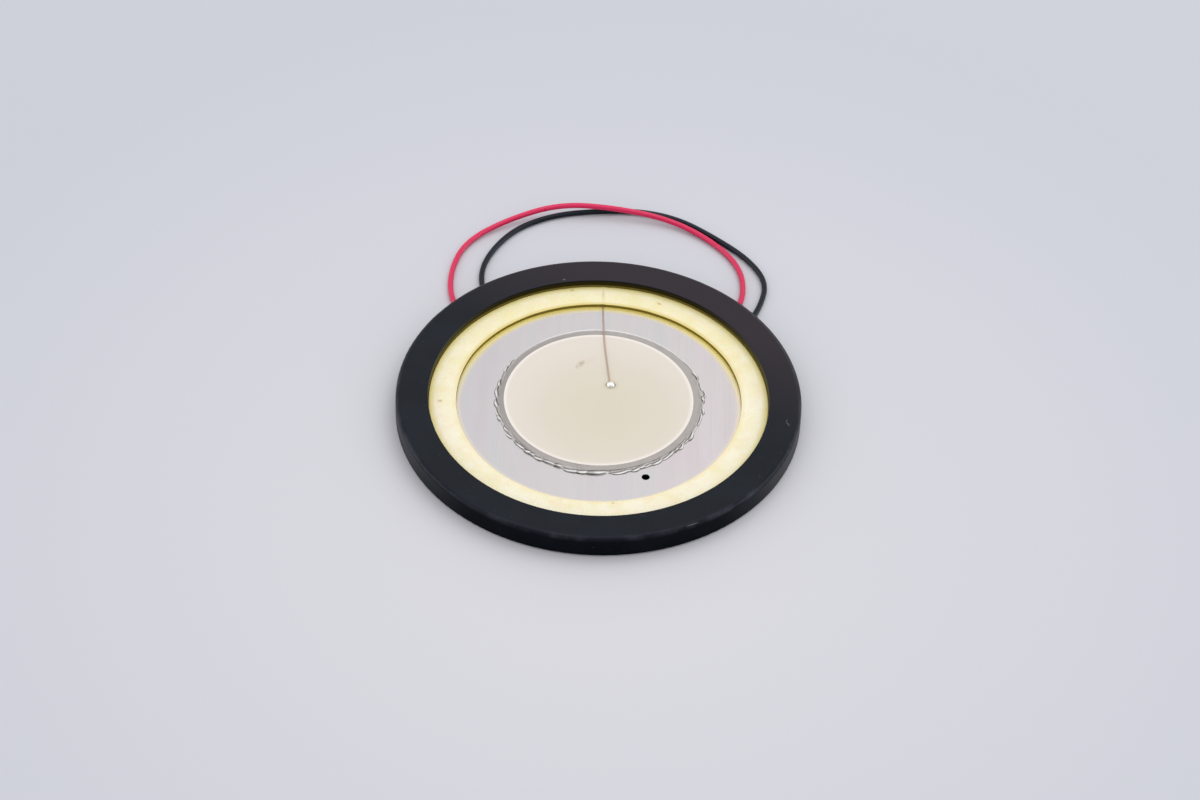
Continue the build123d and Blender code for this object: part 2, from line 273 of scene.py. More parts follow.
@dataclass(frozen=True)
class Finish(ABC):
    """What every finish shares. The numbers are set on the shader's own sockets."""

    name: str
    slot: Slot
    colour: str
    roughness: float = 0.5
    metallic: float = 0.0
    sockets: tuple[tuple[str, float | tuple[float, ...]], ...] = ()

    def material(self) -> bpy.types.Material:
        """Builds the material once and returns it."""
        known = bpy.data.materials.get(self.name)
        if known:
            return known
        made = bpy.data.materials.new(self.name)
        made.use_nodes = True
        tree = made.node_tree
        tree.nodes.clear()
        values = {"Base Color": linear(self.colour), "Roughness": self.roughness, "Metallic": self.metallic}
        shader = add_node(tree, "ShaderNodeBsdfPrincipled", {**values, **dict(self.sockets)})
        add_node(tree, "ShaderNodeOutputMaterial", {"Surface": shader.outputs[0]})
        made.diffuse_color = linear(self.colour)
        self.dress(Shading(tree, shader, add_node(tree, "ShaderNodeTexCoord").outputs["Object"]))
        return made

    @abstractmethod
    def dress(self, nodes: Shading) -> None:
        """Adds the finish's own pattern to the shader."""


@dataclass(frozen=True)
class MouldedRing(Finish):
    """Black ABS, injection moulded in a spark-eroded tool: satin, very dark, a fine even grain."""

    grain_mm: float = 0.14
    handling: Layer = Layer(5.0, 0.45, 0.75, "#10151c", 0.7, detail=4)
    specks: Layer = Layer(0.35, 0.79, 0.85, "#2a2d32", 0.5, detail=0)
    gloss: Span = (0.34, 0.46)
    front: Span = (-0.8, -0.5)
    wall_sheen: Span = (0.04, 0.2)
    top_sheen: float = 0.19
    far: Point = (0.5, 1.0, 0.0)
    far_painted_light_mm: Span = (5.0, 21.0)
    far_painted_light_tone: Tone = ("#2b2329", 0.9)
    opening_mm: Span = (21.12, 21.02)
    wall_mm: Span = (1.6, 2.0)
    rim_mm: Span = (2.86, 2.78)
    foam_bounce_tone: Tone = ("#2c2606", 0.8)
    foam_light_mm: Span = (2.3, 2.06)
    foam_light_tone: Tone = ("#8a7c3a", 0.8)
    edge_mm: Span = (24.45, 24.7)
    upper_mm: Span = (2.3, 2.7)
    broken_sheen_mm: float = 3.0
    broken_sheen: Span = (0.48, 0.66)
    edge_sheen_tone: Tone = ("#33323a", 0.6)
    marks: tuple[Mark, ...] = ()

    def dress(self, nodes: Shading) -> None:
        """Grain, handling marks, scratches, less sheen in front, and painted light: a paler far top, yellow
        light from the foam on the inner wall, a broken highlight on the outer edge.
        """
        handling = nodes.layer(self.handling)
        nodes.layer(self.specks)
        nodes.roughen(handling, self.gloss)
        # Front walls get less sheen and side walls more, by which way they face: painted shade and painted
        # sheen.
        wall_sheen = nodes.ramp(nodes.facing("Y"), *self.front, *self.wall_sheen)
        sheen = nodes.ramp(nodes.facing("Z"), 0.0, 0.6, wall_sheen, self.top_sheen)
        nodes.link(sheen, "Specular IOR Level")
        # The far part of the top is tinted paler: painted light.
        above = nodes.ramp(nodes.facing("Z"), 0.6, 0.9)
        nodes.tint(nodes.times(nodes.band(nodes.toward(self.far), self.far_painted_light_mm), above), *self.far_painted_light_tone)
        nodes.bump(nodes.noise(self.grain_mm, detail=2), 0.008, 0.6)
        for mark in self.marks:
            nodes.tint(nodes.inside(mark, softness=0.6), "#6a6b70", 0.8)
        # Olive and yellow on the inner wall beside the foam: painted light thrown by the foam.
        radius, height = nodes.away(), nodes.part("Z")
        beside_foam = nodes.times(nodes.band(radius, self.opening_mm), nodes.band(height, self.wall_mm))
        nodes.tint(nodes.times(beside_foam, nodes.band(height, self.rim_mm)), *self.foam_bounce_tone)
        nodes.tint(nodes.times(beside_foam, nodes.band(height, self.foam_light_mm)), *self.foam_light_tone)
        # A paler broken band along the outer top rounding: a painted highlight.
        broken_sheen = nodes.ramp(nodes.noise(self.broken_sheen_mm), *self.broken_sheen)
        edge = nodes.times(nodes.band(radius, self.edge_mm), nodes.band(height, self.upper_mm))
        nodes.tint(nodes.times(edge, broken_sheen), *self.edge_sheen_tone)


@dataclass(frozen=True)
class CellFoam(Finish):
    """Closed-cell foam, die cut: soft cream skin above; its cut walls get painted shade, with painted yellow
    light near their foot.
    """

    blotch: Layer = Layer(2.6, 0.42, 0.66, "#f4e9b6", 0.6)
    blush: Layer = Layer(1.7, 0.52, 0.7, "#fbe3ca", 0.35, detail=2)
    cell_mm: float = 0.16
    inner_mm: Span = (18.2, 17.6)
    inner_edge_shade_tone: Tone = ("#f0dd92", 0.35)
    far_painted_light_mm: Span = (0.0, 14.0)
    far_painted_light_tone: Tone = ("#f6ea9c", 0.3)
    far_inner_mm: Span = (18.15, 17.6)
    far_inner_shade_tone: Tone = ("#dcc35c", 0.8)
    behind_mm: Span = (0.0, 10.0)
    outer_mm: Span = (20.05, 20.85)
    outer_edge_shade_tone: Tone = ("#efdf84", 0.85)
    seam_mm: Span = (20.75, 20.95)
    seam_shade_tone: Tone = ("#a89030", 0.6)
    wall_light_and_shade_tones: tuple[Tone, Tone] = (("#e2da6c", 0.9), ("#5c4a00", 0.9))
    wall_mm: Span = (1.5, 1.57)
    spots: tuple[Mark, ...] = ()
    ridge: Mark | None = None

    def dress(self, nodes: Shading) -> None:
        """Blotches and cells, brown spots and open cells as bump; the yellower edges and far side, and the cut
        walls' dark and yellow, are painted shade and light.
        """
        blotch = nodes.layer(self.blotch)
        nodes.layer(self.blush)
        radius, behind = nodes.away(), nodes.part("Y")
        # The yellower inner and outer edges, far half, far inner edge and outer seam are painted shade and
        # light.
        nodes.tint(nodes.band(radius, self.inner_mm), *self.inner_edge_shade_tone)
        nodes.tint(nodes.band(behind, self.far_painted_light_mm), *self.far_painted_light_tone)
        far_inner = nodes.times(nodes.band(radius, self.far_inner_mm), nodes.band(behind, self.behind_mm))
        nodes.tint(far_inner, *self.far_inner_shade_tone)
        nodes.tint(nodes.band(radius, self.outer_mm), *self.outer_edge_shade_tone)
        nodes.tint(nodes.band(radius, self.seam_mm), *self.seam_shade_tone)
        cells = nodes.cells(self.cell_mm)
        nodes.tint(nodes.ramp(cells, 0.35, 0.75), "#efe0a6", 0.3)
        for spot in self.spots:
            nodes.tint(nodes.inside(spot, softness=0.9), "#b08a4a", 0.55)
        if self.ridge:
            nodes.tint(nodes.inside(self.ridge, softness=0.9), "#dcc7a4", 0.6)
        # Cut walls: yellow at the foot is painted light through the foam, darker above is painted shade.
        wall = nodes.ramp(nodes.facing("Z"), 0.75, 0.25)
        nodes.tint(wall, *self.wall_light_and_shade_tones[0])
        nodes.tint(nodes.times(wall, nodes.band(nodes.part("Z"), self.wall_mm)), *self.wall_light_and_shade_tones[1])
        nodes.bump(cells, 0.035, 0.8)
        nodes.bump(blotch, 0.08, 0.5)


@dataclass(frozen=True)
class RolledPlate(Finish):
    """Nickel-plated brass strip, rolled: light grey, semi-gloss, faint lines along the rolling direction.

    Close to the foam it is painted yellow, faintly in front and clearly behind, where it also looks matt: a
    painted reflection of the foam's light.
    """

    clouds: Layer = Layer(7.0, 0.4, 0.7, "#d8cdd4", 0.6)
    bands: Layer = Layer(2.2, 0.48, 0.7, "#c6caca", 0.7, detail=2, stretch=(1.0, 9.0, 1.0))
    lines: Layer = Layer(0.12, 0.55, 0.75, "#bdb9b9", 0.2, stretch=(1.0, 14.0 / 0.12, 1.0))
    left_mm: Span = (12.0, -20.0)
    left_shade_tone: Tone = ("#c3c2c6", 0.5)
    foam_mm: Span = (16.9, 17.6)
    foam_reflection_tone: Tone = ("#ead27f", 0.4)
    behind_mm: Span = (0.0, 10.0)
    foam_light_mm: Span = (16.55, 17.4)
    foam_light_tone: Tone = ("#f2e07e", 0.95)
    foam_light_metallic: float = 0.2
    gloss: Span = (0.2, 0.3)
    foam_dulling: float = 0.25

    def dress(self, nodes: Shading) -> None:
        """Long thin lines along Y in bump, gloss and colour, over broad soft clouds, with painted shade on the
        left and a painted yellow reflection of the foam.
        """
        nodes.layer(self.clouds)
        # Streaks along Y in colour: rolling marks, and partly a painted reflection.
        bands = nodes.layer(self.bands)
        lines = nodes.layer(self.lines)
        # Darker towards the left: painted shade.
        nodes.tint(nodes.band(nodes.part("X"), self.left_mm), *self.left_shade_tone)
        radius = nodes.away()
        # Yellow close to the foam, strongest behind: a painted reflection of the foam's light.
        near_foam = nodes.band(radius, self.foam_mm)
        above = nodes.ramp(nodes.facing("Z"), 0.5, 0.9)
        nodes.tint(nodes.times(near_foam, above), *self.foam_reflection_tone)
        behind = nodes.band(nodes.part("Y"), self.behind_mm)
        foam_light = nodes.times(nodes.band(radius, self.foam_light_mm), behind, above)
        nodes.tint(foam_light, *self.foam_light_tone)
        nodes.link(nodes.ramp(foam_light, 0.0, 1.0, 1.0, self.foam_light_metallic), "Metallic")
        gloss = nodes.roughen(bands, self.gloss)
        nodes.link(nodes.math("MULTIPLY_ADD", near_foam, self.foam_dulling, gloss), "Roughness")
        nodes.bump(lines, 0.0012, 0.3)


@dataclass(frozen=True)
class FiredCeramic(Finish):
    """Lead zirconate titanate, fired and lapped: matt mid grey, fine in grain, with painted shade on the left.
    """

    grain: Layer = Layer(0.09, 0.4, 0.7, "#b6b0ac", 0.5)
    patches: Layer = Layer(1.3, 0.5, 0.75, "#979290", 0.6)
    left: Point = (-0.9, 0.28, 0.0)
    left_mm: Span = (3.0, 12.0)
    left_shade_tone: Tone = ("#8a8583", 0.6)

    def dress(self, nodes: Shading) -> None:
        """Fine grain in colour and bump, slightly darker patches, and painted shade on the left."""
        grain = nodes.layer(self.grain)
        nodes.layer(self.patches)
        # Darker towards the left: painted shade.
        nodes.tint(nodes.band(nodes.toward(self.left), self.left_mm), *self.left_shade_tone)
        nodes.bump(grain, 0.006, 0.6)


@dataclass(frozen=True)
class FiredSilver(Finish):
    """Silver paste, screen printed and fired: matt warm white, with painted shade making it darker and warmer in
    the middle.
    """

    radius_mm: float = 11.7
    warm_centre: Span = (1.2, -1.6)
    print_centre: Span = (0.0, 0.4)
    wander_mm: float = 4.0
    wander_share: float = 0.2
    mesh: Layer = Layer(0.13, 0.5, 0.75, "#cfc7ba", 0.3, detail=2)
    broken_mm: float = 0.3
    blush: tuple[Mark, Tone] | None = None
    flux: tuple[Mark, Tone] | None = None
    stain: tuple[Mark, Tone] | None = None

    def dress(self, nodes: Shading) -> None:
        """Painted shade in the warmer middle, a painted highlight on the edge, faint mesh marks, a small brown
        stain and flux round the joint, partly painted shade.

        Distances from a centre are taken as shares of the print's radius.
        """
        # Darker and warmer towards the middle, paler towards the edge: painted shade and light.
        warm = nodes.math("DIVIDE", nodes.away(*self.warm_centre), self.radius_mm * MM)
        shifted = nodes.math("MULTIPLY_ADD", nodes.noise(self.wander_mm), self.wander_share, warm)
        nodes.tint(nodes.ramp(shifted, 0.8, 0.1), "#d8d0bb", 0.9)
        nodes.tint(nodes.ramp(shifted, 0.75, 1.15), "#e3dbd1", 0.9)
        # A thin bright line along the print's edge: a painted highlight.
        edge = nodes.math("DIVIDE", nodes.away(*self.print_centre), self.radius_mm * MM)
        nodes.tint(nodes.ramp(edge, 0.955, 0.985), "#f3ece6", 0.85)
        mesh = nodes.layer(self.mesh)
        # Of these, the flux mark is both brown flux and painted shade round the joint.
        for spot in filter(None, (self.blush, self.flux, self.stain)):
            mark, tone = spot
            broken = nodes.ramp(nodes.noise(self.broken_mm), 0.3, 0.6)
            nodes.tint(nodes.times(nodes.inside(mark, softness=0.9), broken), *tone)
        nodes.bump(mesh, 0.004, 0.5)


@dataclass(frozen=True)
class ClearGlue(Finish):
    """Cured epoxy, squeezed out and left to set: clear and wet-looking.

    Its dark meniscus and bright crests are painted shade and painted highlights.
    """

    swirl_mm: float = 0.5
    depth_mm: float = 0.02
    painted_streaks: tuple[tuple[str, str], ...] = (("bright", "#ffffff"), ("dark", "#120e0c"))

    def dress(self, nodes: Shading) -> None:
        """Swirls as a soft bump, and the bead's painted highlights and painted shade."""
        swirl = nodes.layer(Layer(self.swirl_mm, 0.4, 0.7, "#efe9e2", 0.3))
        # Bright and dark masks: painted highlights on crests, painted shade at the meniscus.
        for name, colour in self.painted_streaks:
            nodes.tint(nodes.add("ShaderNodeAttribute", attribute_name=name).outputs["Fac"], colour)
        nodes.bump(swirl, self.depth_mm, 0.6)


@dataclass(frozen=True)
class AdhesiveFilm(Finish):
    """Double-coated adhesive film, die cut: off-white, tacky, with tiny trapped bubbles."""

    bubble_mm: float = 0.7

    def dress(self, nodes: Shading) -> None:
        """Bubbles in colour and bump."""
        bubbles = nodes.cells(self.bubble_mm)
        nodes.tint(nodes.ramp(bubbles, 0.25, 0.1), "#f2ecda", 0.6)
        nodes.bump(bubbles, 0.01, 0.4)


@dataclass(frozen=True)
class EnamelledCopper(Finish):
    """Fine copper wire, drawn and enamelled: pinkish brown metal under a thin clear coat."""

    tone: Layer = Layer(1.1, 0.4, 0.7, "#ccab93", 0.6, detail=2)
    drawing_mm: float = 0.06

    def dress(self, nodes: Shading) -> None:
        """Slow changes of tone along the wire and fine drawing marks."""
        nodes.layer(self.tone)
        nodes.bump(nodes.noise(self.drawing_mm, detail=1, stretch=(1, 8, 1)), 0.002, 0.4)


@dataclass(frozen=True)
class BrightSolder(Finish):
    """Tin solder, wetted and frozen: bright metal with a faint frosted grain."""

    grain: Layer = Layer(0.12, 0.5, 0.75, "#c2beb6", 0.6)
    flux_and_shade_tone: Tone = ("#4a3c32", 0.85)
    gloss: Span = (0.1, 0.3)

    def dress(self, nodes: Shading) -> None:
        """Frost as gloss changes and a shallow bump, and brown flux where the piece has it, which is partly
        painted shade.
        """
        grain = nodes.layer(self.grain)
        # Brown flux and painted shade round the drop's foot.
        nodes.tint(nodes.add("ShaderNodeAttribute", attribute_name="flux").outputs["Fac"], *self.flux_and_shade_tone)
        nodes.roughen(grain, self.gloss, (0.35, 0.7))
        nodes.bump(grain, 0.004, 0.5)


@dataclass(frozen=True)
class ExtrudedVinyl(Finish):
    """PVC insulation, extruded over the wire: semi-gloss, even colour, a slightly rippled skin."""

    dusty: str = "#808080"
    gloss: Span = (0.24, 0.38)
    ripple_mm: float = 0.5

    def dress(self, nodes: Shading) -> None:
        """Fine ripple in bump, and a little dust and paleness where it was handled."""
        nodes.roughen(nodes.layer(Layer(3.5, 0.45, 0.75, self.dusty, 0.3)), self.gloss)
        nodes.bump(nodes.noise(self.ripple_mm), 0.02, 0.3)


@dataclass(frozen=True)
class ShrunkTube(Finish):
    """Polyolefin sleeve, heat shrunk: matt black with lengthwise creases."""

    crease: Layer = Layer(0.3, 0.5, 0.75, "#3a3a3c", 0.6, stretch=(3.0, 1.0, 1.0))

    def dress(self, nodes: Shading) -> None:
        """Creases as bump, and a grey bloom."""
        nodes.bump(nodes.layer(self.crease), 0.03, 0.5)


class Finishes:
    """The finishes of this transducer, each made from what the real one is."""

    RING = MouldedRing(
        "abs_moulded_black",
        Slot.RING,
        "#06090f",
        roughness=0.4,
        sockets=(("Specular Tint", linear("#dfeaff")),),
        marks=(
            Mark(23.25, -4.15, 3.0, length=1.0, width=0.16, turn=120),
            Mark(23.1, -3.6, 3.0, length=0.5, width=0.12, turn=60),
            Mark(-4.86, 20.95, 3.0, length=0.5, width=0.3, turn=15),
            Mark(11.69, -21.87, 2.85, length=2.0, width=0.12, turn=28),
        ),
    )
    FOAM = CellFoam(
        "foam_die_cut_cream",
        Slot.FOAM,
        "#fef7e3",
        roughness=0.85,
        sockets=(
            ("Subsurface Weight", 0.12),
            ("Subsurface Scale", 0.6 * MM),
            ("Specular IOR Level", 0.25),
        ),
        spots=(
            Mark(-3.82, 20.1, 2.0, length=0.8, width=0.5, turn=20),
            Mark(7.22, 18.1, 2.0, length=0.9, width=0.5, turn=-30),
            Mark(-19.49, -1.0, 2.0, length=0.9, width=0.6, turn=10),
            Mark(2.13, -17.8, 2.0, length=0.6, width=0.4, turn=0),
        ),
        ridge=Mark(0.17, 19.4, 2.02, length=3.6, width=0.55, turn=90),
    )
    PLATE = RolledPlate("brass_rolled_nickel_plated", Slot.PLATE, "#dad3d4", roughness=0.25, metallic=1.0)
    CERAMIC = FiredCeramic("ceramic_lapped_grey", Slot.CERAMIC, "#a8a29f", roughness=0.6)
    SILVER = FiredSilver(
        "silver_screen_printed",
        Slot.SILVER,
        "#dcd4c5",
        roughness=0.55,
        blush=(Mark(-1.4, 7.1, 1.84, length=3.0, width=1.6, turn=40), ("#dcbfb0", 0.35)),
        flux=(Mark(1.44, 3.0, 1.84, length=2.4, width=2.2), ("#a8937c", 0.6)),
        stain=(Mark(-2.42, 6.6, 1.84, length=2.3, width=1.0, turn=60), ("#9a8570", 0.75)),
    )
    GLUE = ClearGlue(
        "epoxy_clear",
        Slot.GLUE,
        "#b9b3b0",
        roughness=0.08,
        sockets=(("Transmission Weight", 0.15), ("IOR", 1.5)),
    )
    DAB = ClearGlue(
        "hot_melt_milky",
        Slot.GLUE,
        "#ebe5d6",
        roughness=0.3,
        sockets=(("Transmission Weight", 0.35), ("IOR", 1.48)),
        swirl_mm=1.2,
        depth_mm=0.05,
    )
    SEAT_GLUE = AdhesiveFilm("adhesive_film_white", Slot.SEAT_GLUE, "#d9d2c0", roughness=0.6)
    COPPER = EnamelledCopper(
        "copper_enamelled",
        Slot.COPPER,
        "#bba293",
        roughness=0.35,
        metallic=0.8,
        sockets=(("Coat Weight", 0.5), ("Coat Roughness", 0.15)),
    )
    SOLDER = BrightSolder("solder_tin_bright", Slot.SOLDER, "#f2f0ea", roughness=0.15, metallic=1.0)
    RED = ExtrudedVinyl(
        "vinyl_extruded_red",
        Slot.RED,
        "#d80750",
        roughness=0.28,
        sockets=(("Specular IOR Level", 0.5),),
        dusty="#e42560",
    )
    BLACK = ExtrudedVinyl(
        "vinyl_extruded_black",
        Slot.BLACK,
        "#070a12",
        roughness=0.28,
        sockets=(("Specular IOR Level", 0.28), ("Specular Tint", linear("#dfeaff"))),
        dusty="#1b2027",
    )
    SLEEVE = ShrunkTube("polyolefin_shrunk_black", Slot.SLEEVE, "#1b1b1d", roughness=0.6)


def link_object(name: str, data: bpy.types.ID) -> bpy.types.Object:
    """Makes an object of a mesh, curve, lamp or camera at the origin and puts it in the scene."""
    made = bpy.data.objects.new(name, data)
    bpy.context.scene.collection.objects.link(made)
    return made


def grid_mesh(
    name: str,
    rows: np.ndarray,
    closed: bool = True,
    poles: bool = False,
    values: dict[str, np.ndarray] | None = None,
) -> bpy.types.Object:
    """Makes a surface from a grid of points whose columns run round a closed loop.

    Neighbouring rows and columns are joined by four-sided faces. With closed, the last row joins
    the first one, as in a ring. With poles, the first and last rows are points that close the
    surface, joined by three-sided faces.

    Args:
        name: The piece's name.
        rows: Points in metres, by row, column and axis.
        closed: Whether the rows close on themselves.
        poles: Whether the first and last rows are single points.
        values: Numbers to keep on the points by name, as attributes for the finish.

    Returns:
        The new object, at the origin, with normals outwards and smooth shading.
    """
    count, columns = rows.shape[:2]
    points = rows.reshape(-1, 3)
    index = np.arange(count * columns).reshape(count, columns)
    top = index if closed else index[:-1]
    bottom = np.roll(index, -1, axis=0) if closed else index[1:]
    quads = np.stack([top, bottom, np.roll(bottom, -1, axis=1), np.roll(top, -1, axis=1)], axis=-1)
    mesh = bpy.data.meshes.new(name)
    mesh.from_pydata(points.tolist(), [], quads.reshape(-1, 4).tolist())
    for value_name, value in (values or {}).items():
        kept = mesh.attributes.new(value_name, "FLOAT", "POINT")
        kept.data.foreach_set("value", value.ravel().astype(np.float32))
    editable = bmesh.new()
    editable.from_mesh(mesh)
    if poles:
        bmesh.ops.remove_doubles(editable, verts=editable.verts, dist=1e-8)
    bmesh.ops.recalc_face_normals(editable, faces=editable.faces)
    editable.to_mesh(mesh)
    editable.free()
    mesh.shade_smooth()
    return link_object(name, mesh)


def install(piece: bpy.types.Object, finish: Finish, *nodes: str) -> bpy.types.Object:
    """Dresses a new piece, lets it ride the body and stand for its CAD nodes.

    Args:
        piece: The finished piece.
        finish: Its finish.
        nodes: The CAD nodes that it replaces.

    Returns:
        The piece.
    """
    piece.data.materials.append(finish.material())
    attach(piece, Body.ROOT.value)
    if nodes:
        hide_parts(*nodes)
    log.info("%s made, for %s", piece.name, ", ".join(nodes) or "no node")
    return piece


def dress_node(name: str, finish: Finish) -> None:
    """Gives a CAD node its finish and leaves its mesh as it is."""
    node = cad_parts[name]
    if not node.material_slots:
        node.data.materials.append(None)
    for place in node.material_slots:
        place.material = finish.material()
    log.info("%s dressed", name)


def waves(angle: np.ndarray, orders: Sequence[int], sizes: Sequence[float], seed: int) -> np.ndarray:
    """Gives a wavy line round a circle: a sum of cosines with whole numbers of waves and random phases."""
    phases = np.random.default_rng(seed).uniform(0, 2 * math.pi, len(orders))
    terms = np.cos(np.multiply.outer(angle, np.array(orders)) + phases) * np.array(sizes)
    return terms.sum(axis=-1)


def plateau(value: np.ndarray, middle: float | np.ndarray, half: float) -> np.ndarray:
    """Gives one near the middle and zero beyond: exp of minus the fourth power of the distance in halves."""
    return np.exp(-(((value - middle) / half) ** 4))


def round_circle(centre: np.ndarray, radius: np.ndarray, angle: np.ndarray, height: np.ndarray) -> np.ndarray:
    """Gives points in metres from radius, angle and height in millimetres."""
    x, y = centre[0] + radius * np.cos(angle), centre[1] + radius * np.sin(angle)
    return np.stack([x, y, np.broadcast_to(height, x.shape)], axis=-1) * MM


@dataclass
class FoamGasket:
    """The soft foam ring: a rounded band with a cushioned top, creased where it crosses the fine wire."""

    width: float = 3.35
    corner: float = 0.07
    outer_corner: float = 0.05
    columns: int = 900
    wire_columns: int = 81
    corner_steps: int = 6
    top_steps: int = 18
    crown: float = 0.02
    room: Span = (0.02, 0.03)
    wire_x: float = 0.17
    wire_rise: float = 0.25
    wire_spread: float = 0.16
    ridge_rise: float = 0.05
    ridge_spread: float = 0.3
    inner_ripple: Ripple = ((2, 3, 5, 11, 23), (0.03, 0.03, 0.02, 0.012, 0.008))
    outer_ripple: Ripple = ((3, 7), (0.01, 0.006))
    top_ripple: Ripple = ((4, 9, 17, 31, 52), (0.01, 0.008, 0.006, 0.005, 0.004))
    fill: float = 0.9

    def section(
        self, inner: np.ndarray, outer: np.ndarray, low: float, high: float
    ) -> tuple[np.ndarray, np.ndarray]:
        """Gives the band's closed section at each angle, as radius and height.

        The section is a rectangle with quarter-circle corners. Its top is lifted by a parabola
        across the band.

        Args:
            inner: Inner radius at each angle.
            outer: Outer radius at each angle.
            low: Height of the underside.
            high: Height of the top's edges.

        Returns:
            Radius and height, each by section point and angle.
        """
        quarter = np.linspace(0, math.pi / 2, self.corner_steps)
        across = np.linspace(0, 1, self.top_steps)[1:-1, None]
        starts = [(1, -1, -math.pi / 2), (1, 1, 0.0), (-1, 1, math.pi / 2), (-1, -1, math.pi)]
        radii, heights = [], []
        for side, level, start in starts:
            edge = outer if side > 0 else inner
            c = self.outer_corner if (side, level) == (1, 1) else self.corner
            radii.append(edge[None, :] - side * c + c * np.cos(start + quarter)[:, None])
            base = high - c if level > 0 else low + c
            heights.append(np.broadcast_to(base + c * np.sin(start + quarter)[:, None], radii[-1].shape))
            if (side, level) == (1, 1):
                reach = (outer - c)[None, :] + across * (inner - outer + c + self.corner)[None, :]
                radii.append(reach)
                heights.append(np.broadcast_to(high + self.crown * 4 * across * (1 - across), reach.shape))
        return np.concatenate(radii), np.concatenate(heights)

    def build(self) -> bpy.types.Object:
        low_corner, high_corner = (np.array(c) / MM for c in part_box("foam_ring"))
        plate_top = low_corner[2]
        outer_radius = high_corner[0]
        inner_radius = outer_radius - self.width
        near_wire = math.pi / 2 + np.linspace(-1, 1, self.wire_columns) * 2 * self.ridge_spread / inner_radius
        even = np.linspace(0, 2 * math.pi, self.columns, endpoint=False)
        angle = np.unique(np.concatenate([even, near_wire]))
        inner = inner_radius + waves(angle, *self.inner_ripple, SEED)
        outer = outer_radius - self.room[0] + waves(angle, *self.outer_ripple, SEED + 1)
        radius, height = self.section(inner, outer, plate_top, high_corner[2] - self.room[1])
        ripple = waves(angle, *self.top_ripple, SEED + 2)
        share = (height - plate_top) / (high_corner[2] - plate_top)
        x, y = radius * np.cos(angle), radius * np.sin(angle)
        aside = np.where(y > 0, x - self.wire_x, outer_radius)
        crease = self.wire_rise * np.exp(-((aside / self.wire_spread) ** 2)) * (1 - share) ** 2
        lift = crease + self.ridge_rise * np.exp(-((aside / self.ridge_spread) ** 2)) * share
        points = np.stack([x, y, height + share * ripple + lift], axis=-1) * MM
        piece = install(grid_mesh("foam_gasket", points), Finishes.FOAM, "foam_ring")
        return piece


